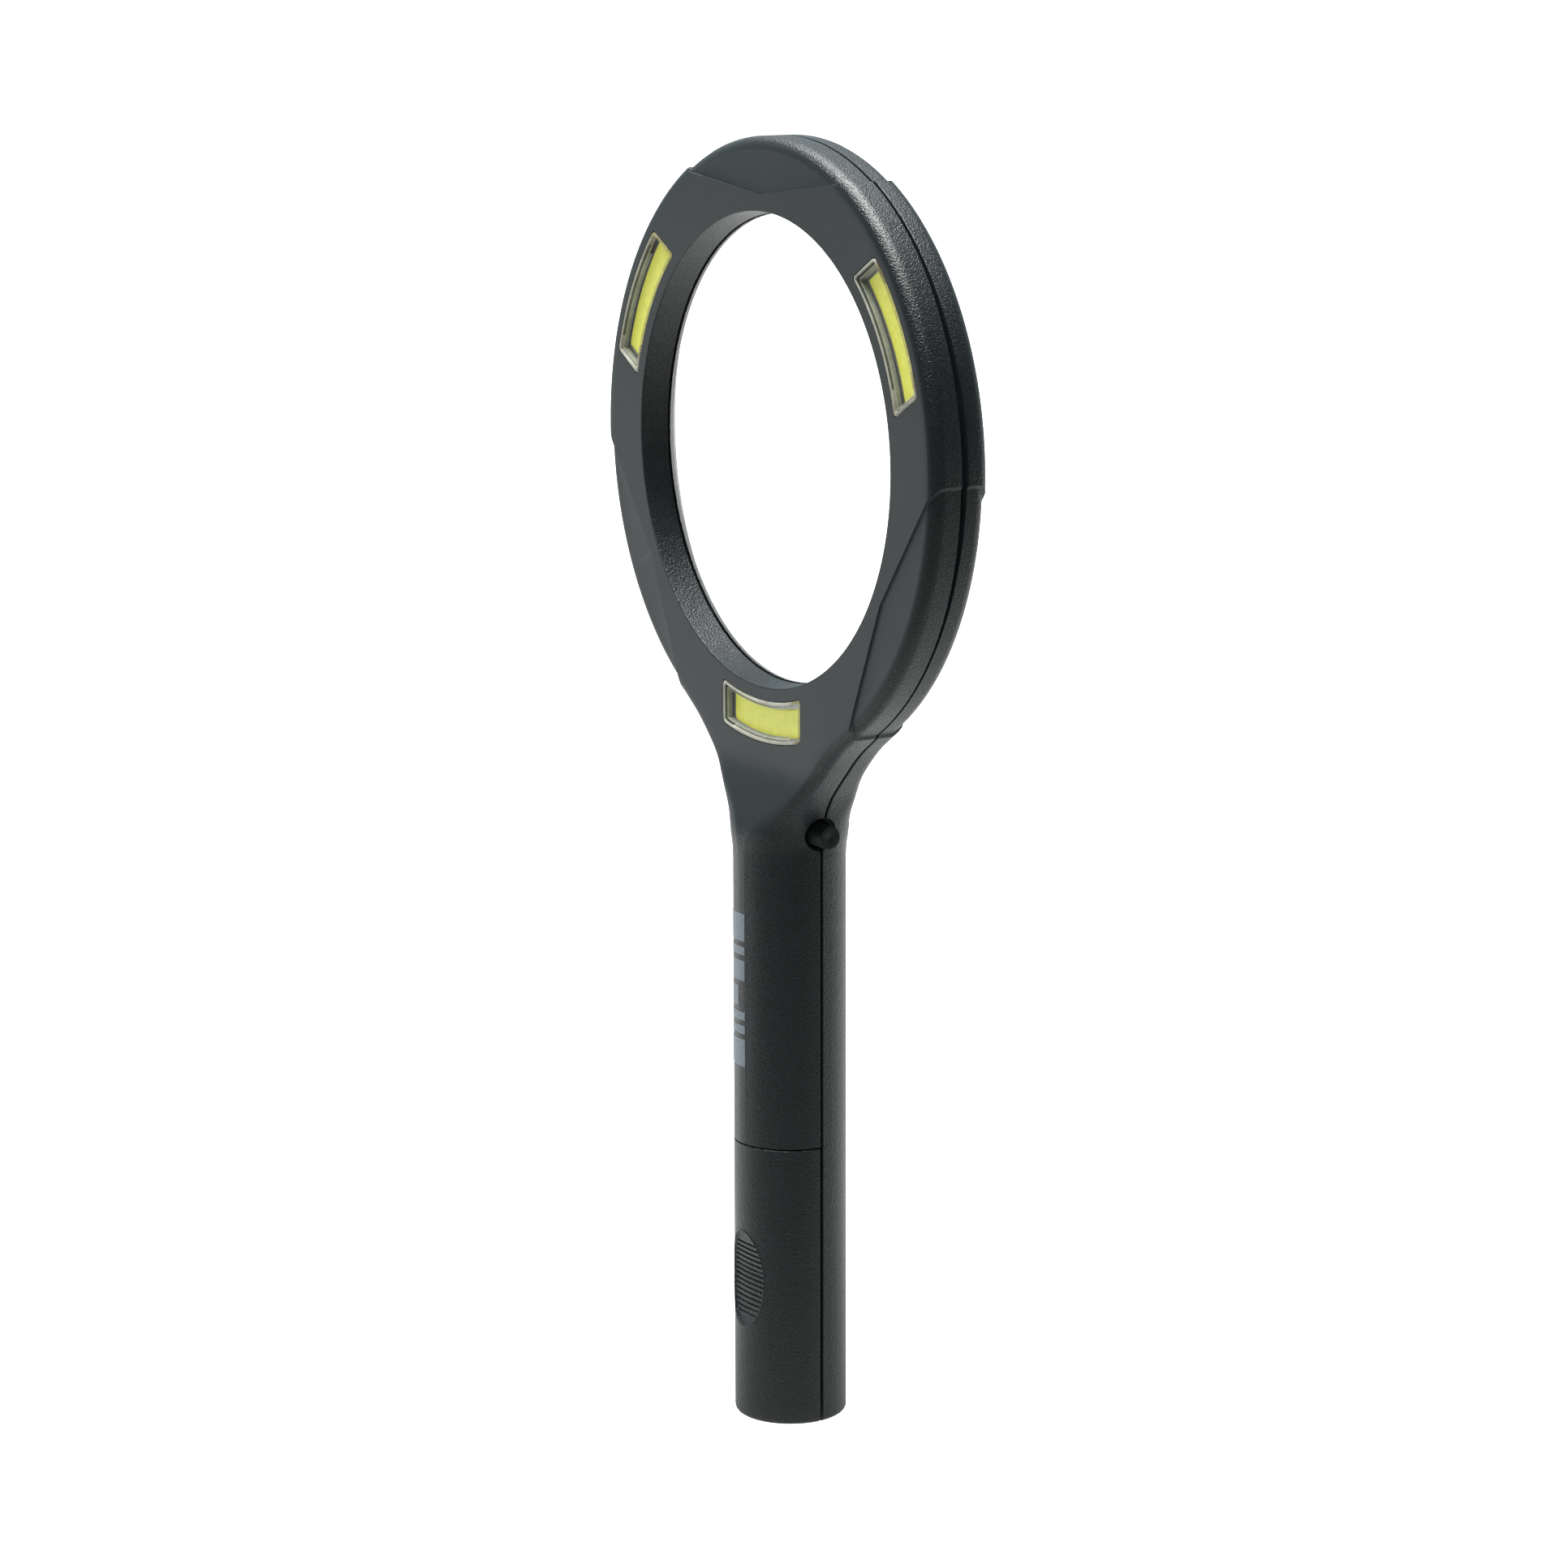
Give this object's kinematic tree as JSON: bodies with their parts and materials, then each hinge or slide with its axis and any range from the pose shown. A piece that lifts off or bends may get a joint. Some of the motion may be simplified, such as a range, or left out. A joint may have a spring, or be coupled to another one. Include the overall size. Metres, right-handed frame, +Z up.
{
  "type": "low vision magnifier",
  "caption": "Hand-held magnifier: a clear lens in a round ring with lit windows, a side push button on the neck and a round battery handle with a sliding door.",
  "frame": {"origin": "middle of the flat lower end of the handle", "axes": "+Z up the handle to the ring, +X across the ring towards the push button, the lit front faces -Y and the lens axis runs along Y"},
  "size_m": [0.1188, 0.0214, 0.2485],
  "materials": {
    "shell": "charcoal ABS, smooth matt faces with fine spark texture on the sides and handle",
    "lens": "clear polished acrylic",
    "window": "clear moulded plastic, slightly yellow at the edges",
    "phosphor": "yellow phosphor gel over the light chips",
    "board_metal": "satin",
    "button": "smooth matt black",
    "plunger": "moulded nylon",
    "switch": "moulded",
    "circuit_board": "green solder mask",
    "cell": "printed sleeve",
    "contact": "nickel-plated spring steel",
    "red_wire": "PVC insulation",
    "black_wire": "PVC insulation",
    "screw": "zinc-plated self-tapping screw"
  },
  "bodies": {
    "shell": {"front_shell": "shell", "rear_shell": "shell", "lens": "lens", "window_upper_right": "window", "led_strip_upper_right": "phosphor", "led_board_upper_right": "board_metal", "window_upper_left": "window", "led_strip_upper_left": "phosphor", "led_board_upper_left": "board_metal", "window_lower": "window", "led_strip_lower": "phosphor", "led_board_lower": "board_metal", "switch_body": "switch", "driver_board": "circuit_board", "series_resistor": "switch", "battery_lower": "cell", "battery_upper": "cell", "negative_spring": "contact", "negative_strip": "contact", "positive_contact": "contact", "led_wire_red": "red_wire", "led_wire_black": "black_wire", "battery_wire_positive": "red_wire", "battery_wire_negative": "black_wire", "screw_ring_top": "screw", "screw_ring_left": "screw", "screw_ring_right": "screw", "screw_neck": "screw"},
    "button": {"button_cap": "button", "switch_plunger": "plunger"},
    "battery_door": {"battery_door": "shell"}
  },
  "joints": [
    {"name": "button_press", "type": "slide", "parent": "shell", "child": "button", "axis": [-1, 0, 0], "range_m": [0, 0.0012], "stiffness_N_per_m": 600, "springref_m": -0.0008},
    {"name": "door_slide", "type": "slide", "parent": "shell", "child": "battery_door", "axis": [0, 0, -1], "range_m": [0, 0.062]}
  ]
}
